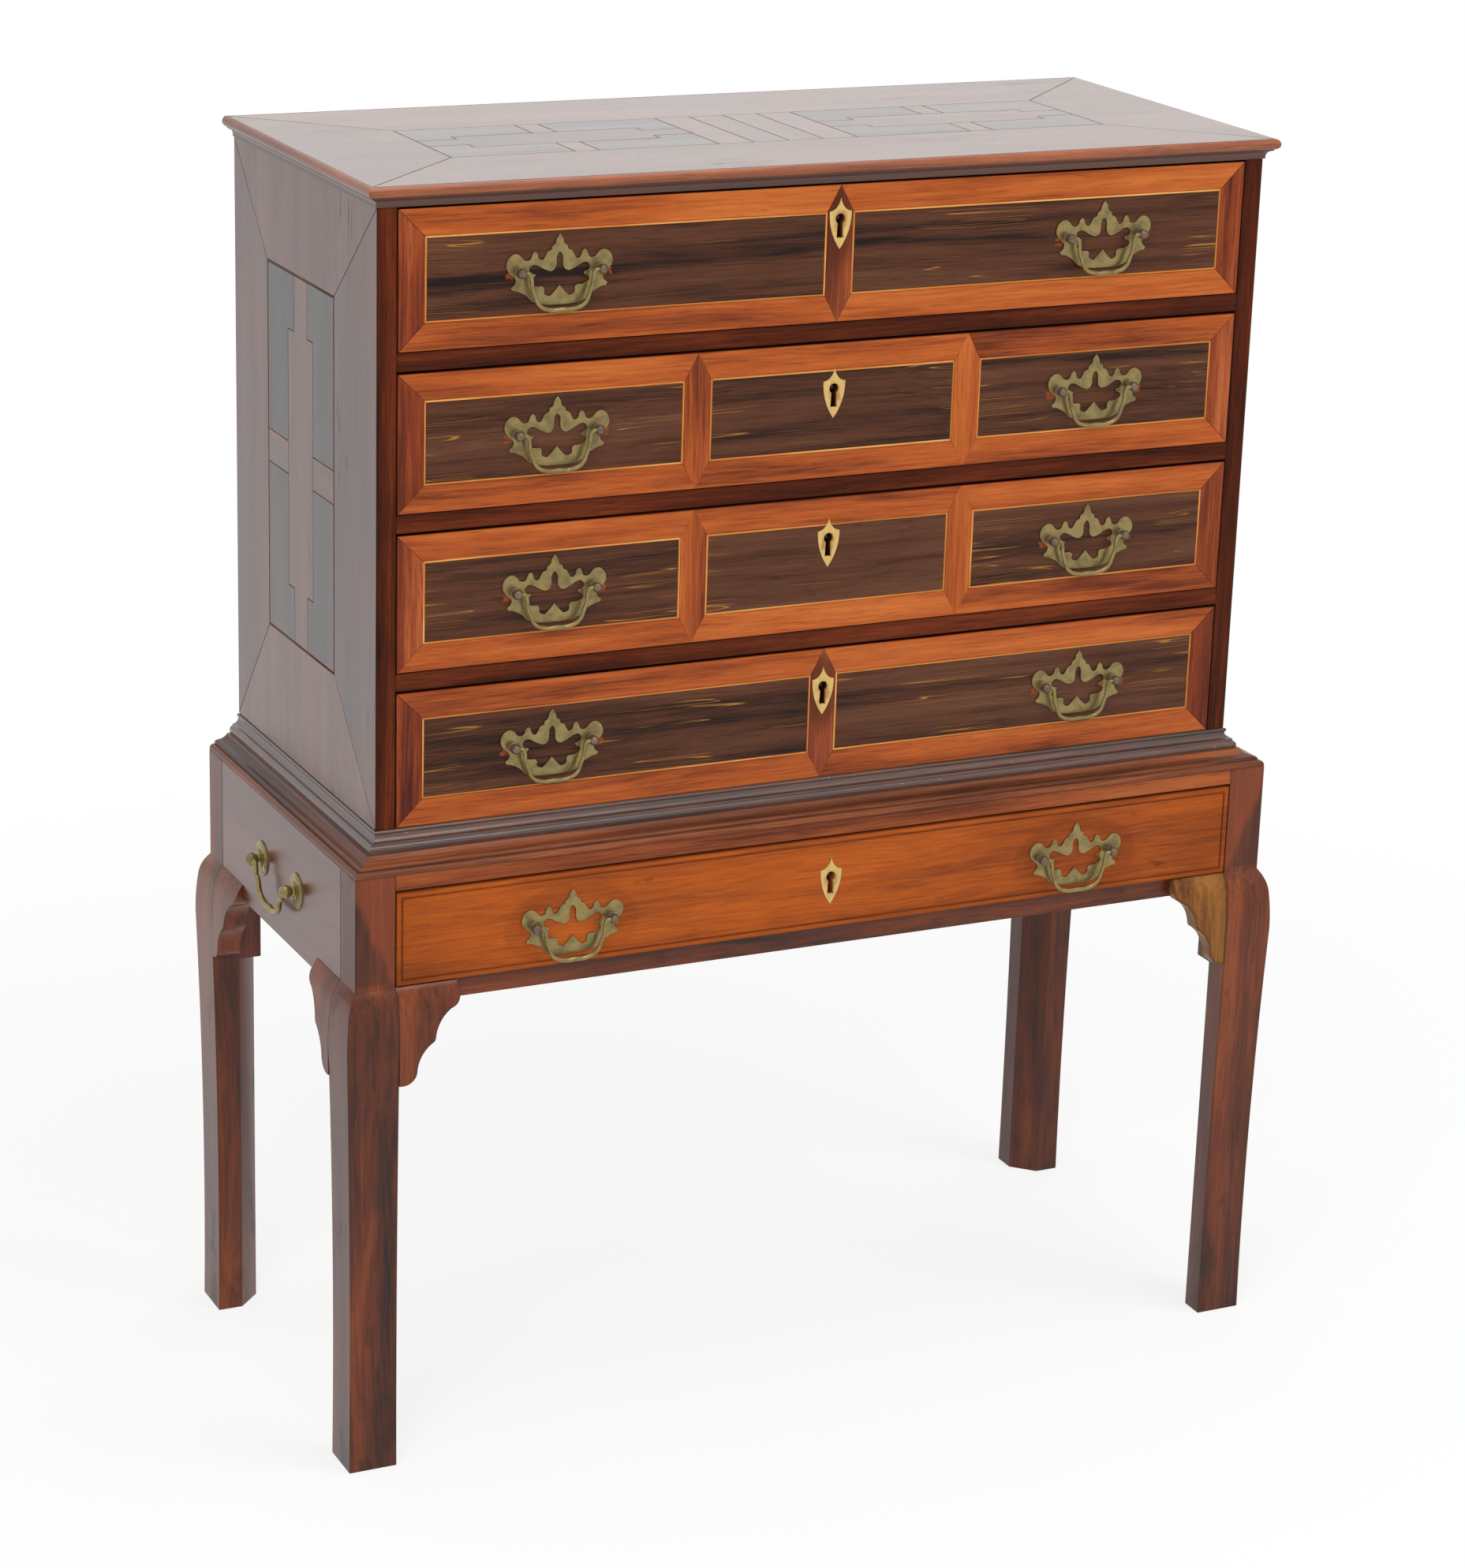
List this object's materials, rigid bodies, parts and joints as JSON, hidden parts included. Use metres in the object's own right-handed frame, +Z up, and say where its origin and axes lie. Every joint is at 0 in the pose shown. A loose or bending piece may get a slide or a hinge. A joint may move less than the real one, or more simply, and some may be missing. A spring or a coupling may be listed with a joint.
{
  "type": "chest on stand",
  "caption": "Veneered chest of drawers on a stand with a drawer, square legs with swelling knees and scrolled brackets, pierced brass swan-neck pulls and carrying handles.",
  "frame": {"origin": "centre of the object's footprint box, on the floor under the feet", "axes": "+Z up, +X to the right seen from the front, -Y towards the front, where the drawers open"},
  "size_m": [0.9754, 0.4272, 1.187],
  "materials": {
    "veneered_front": "waxed dark veneer with lighter banding",
    "solid_front": "waxed",
    "veneered_side": "waxed veneer",
    "veneered_top": "waxed veneer",
    "rail_wood": "waxed",
    "moulding_wood": "waxed",
    "dark_moulding": "worn black stain",
    "stand_wood": "waxed",
    "drawer_lining": "bare",
    "brass": "dull",
    "bone": "satin",
    "iron": "dull"
  },
  "bodies": {
    "carcass": {"top_board": "veneered_top", "top_moulding": "moulding_wood", "left_side": "veneered_side", "right_side": "veneered_side", "chest_bottom": "drawer_lining", "divider_rails": "rail_wood", "back_boards": "drawer_lining", "drawer_runners": "drawer_lining", "waist_moulding": "dark_moulding", "stand_moulding": "dark_moulding", "leg_front_left": "stand_wood", "leg_front_right": "stand_wood", "leg_back_left": "stand_wood", "leg_back_right": "stand_wood", "stand_front_rails": "stand_wood", "stand_aprons": "stand_wood", "knee_brackets": "stand_wood", "carry_handle_roses": "brass"},
    "drawer_1": {"drawer_1_front": "veneered_front", "drawer_1_box": "drawer_lining", "drawer_1_pulls": "brass", "drawer_1_escutcheon": "bone", "drawer_1_lock": "iron"},
    "drawer_1_bail_left": {"drawer_1_bail_left": "brass"},
    "drawer_1_bail_right": {"drawer_1_bail_right": "brass"},
    "drawer_1_bolt": {"drawer_1_bolt": "iron"},
    "drawer_2": {"drawer_2_front": "veneered_front", "drawer_2_box": "drawer_lining", "drawer_2_pulls": "brass", "drawer_2_escutcheon": "bone", "drawer_2_lock": "iron"},
    "drawer_2_bail_left": {"drawer_2_bail_left": "brass"},
    "drawer_2_bail_right": {"drawer_2_bail_right": "brass"},
    "drawer_2_bolt": {"drawer_2_bolt": "iron"},
    "drawer_3": {"drawer_3_front": "veneered_front", "drawer_3_box": "drawer_lining", "drawer_3_pulls": "brass", "drawer_3_escutcheon": "bone", "drawer_3_lock": "iron"},
    "drawer_3_bail_left": {"drawer_3_bail_left": "brass"},
    "drawer_3_bail_right": {"drawer_3_bail_right": "brass"},
    "drawer_3_bolt": {"drawer_3_bolt": "iron"},
    "drawer_4": {"drawer_4_front": "veneered_front", "drawer_4_box": "drawer_lining", "drawer_4_pulls": "brass", "drawer_4_escutcheon": "bone", "drawer_4_lock": "iron"},
    "drawer_4_bail_left": {"drawer_4_bail_left": "brass"},
    "drawer_4_bail_right": {"drawer_4_bail_right": "brass"},
    "drawer_4_bolt": {"drawer_4_bolt": "iron"},
    "stand_drawer": {"stand_drawer_front": "solid_front", "stand_drawer_box": "drawer_lining", "stand_drawer_pulls": "brass", "stand_drawer_escutcheon": "bone", "stand_drawer_lock": "iron"},
    "stand_drawer_bail_left": {"stand_drawer_bail_left": "brass"},
    "stand_drawer_bail_right": {"stand_drawer_bail_right": "brass"},
    "stand_drawer_bolt": {"stand_drawer_bolt": "iron"},
    "carry_bail_left": {"carry_bail_left": "brass"},
    "carry_bail_right": {"carry_bail_right": "brass"}
  },
  "joints": [
    {"name": "drawer_1_slide", "type": "slide", "parent": "carcass", "child": "drawer_1", "axis": [0, -1, 0], "range_m": [0, 0.28]},
    {"name": "drawer_1_bail_left_hinge", "type": "hinge", "parent": "drawer_1", "child": "drawer_1_bail_left", "pos_m": [-0.272, -0.17795, 1.10514], "axis": [-1, 0, 0], "range_deg": [0, 90]},
    {"name": "drawer_1_bail_right_hinge", "type": "hinge", "parent": "drawer_1", "child": "drawer_1_bail_right", "pos_m": [0.272, -0.17795, 1.10514], "axis": [-1, 0, 0], "range_deg": [0, 90]},
    {"name": "drawer_1_bolt_slide", "type": "slide", "parent": "drawer_1", "child": "drawer_1_bolt", "axis": [0, 0, 1], "range_m": [0, 0.008]},
    {"name": "drawer_2_slide", "type": "slide", "parent": "carcass", "child": "drawer_2", "axis": [0, -1, 0], "range_m": [0, 0.28]},
    {"name": "drawer_2_bail_left_hinge", "type": "hinge", "parent": "drawer_2", "child": "drawer_2_bail_left", "pos_m": [-0.272, -0.17795, 0.96151], "axis": [-1, 0, 0], "range_deg": [0, 90]},
    {"name": "drawer_2_bail_right_hinge", "type": "hinge", "parent": "drawer_2", "child": "drawer_2_bail_right", "pos_m": [0.272, -0.17795, 0.96151], "axis": [-1, 0, 0], "range_deg": [0, 90]},
    {"name": "drawer_2_bolt_slide", "type": "slide", "parent": "drawer_2", "child": "drawer_2_bolt", "axis": [0, 0, 1], "range_m": [0, 0.008]},
    {"name": "drawer_3_slide", "type": "slide", "parent": "carcass", "child": "drawer_3", "axis": [0, -1, 0], "range_m": [0, 0.28]},
    {"name": "drawer_3_bail_left_hinge", "type": "hinge", "parent": "drawer_3", "child": "drawer_3_bail_left", "pos_m": [-0.272, -0.17795, 0.81789], "axis": [-1, 0, 0], "range_deg": [0, 90]},
    {"name": "drawer_3_bail_right_hinge", "type": "hinge", "parent": "drawer_3", "child": "drawer_3_bail_right", "pos_m": [0.272, -0.17795, 0.81789], "axis": [-1, 0, 0], "range_deg": [0, 90]},
    {"name": "drawer_3_bolt_slide", "type": "slide", "parent": "drawer_3", "child": "drawer_3_bolt", "axis": [0, 0, 1], "range_m": [0, 0.008]},
    {"name": "drawer_4_slide", "type": "slide", "parent": "carcass", "child": "drawer_4", "axis": [0, -1, 0], "range_m": [0, 0.28]},
    {"name": "drawer_4_bail_left_hinge", "type": "hinge", "parent": "drawer_4", "child": "drawer_4_bail_left", "pos_m": [-0.272, -0.17795, 0.67426], "axis": [-1, 0, 0], "range_deg": [0, 90]},
    {"name": "drawer_4_bail_right_hinge", "type": "hinge", "parent": "drawer_4", "child": "drawer_4_bail_right", "pos_m": [0.272, -0.17795, 0.67426], "axis": [-1, 0, 0], "range_deg": [0, 90]},
    {"name": "drawer_4_bolt_slide", "type": "slide", "parent": "drawer_4", "child": "drawer_4_bolt", "axis": [0, 0, 1], "range_m": [0, 0.008]},
    {"name": "stand_drawer_slide", "type": "slide", "parent": "carcass", "child": "stand_drawer", "axis": [0, -1, 0], "range_m": [0, 0.29]},
    {"name": "stand_drawer_bail_left_hinge", "type": "hinge", "parent": "stand_drawer", "child": "stand_drawer_bail_left", "pos_m": [-0.262, -0.20895, 0.5122], "axis": [-1, 0, 0], "range_deg": [0, 90]},
    {"name": "stand_drawer_bail_right_hinge", "type": "hinge", "parent": "stand_drawer", "child": "stand_drawer_bail_right", "pos_m": [0.262, -0.20895, 0.5122], "axis": [-1, 0, 0], "range_deg": [0, 90]},
    {"name": "stand_drawer_bolt_slide", "type": "slide", "parent": "stand_drawer", "child": "stand_drawer_bolt", "axis": [0, 0, 1], "range_m": [0, 0.008]},
    {"name": "carry_bail_left_hinge", "type": "hinge", "parent": "carcass", "child": "carry_bail_left", "pos_m": [-0.4815, 0.00055, 0.5165], "axis": [0, 1, 0], "range_deg": [0, 90]},
    {"name": "carry_bail_right_hinge", "type": "hinge", "parent": "carcass", "child": "carry_bail_right", "pos_m": [0.4815, 0.00055, 0.5165], "axis": [0, -1, 0], "range_deg": [0, 90]}
  ]
}
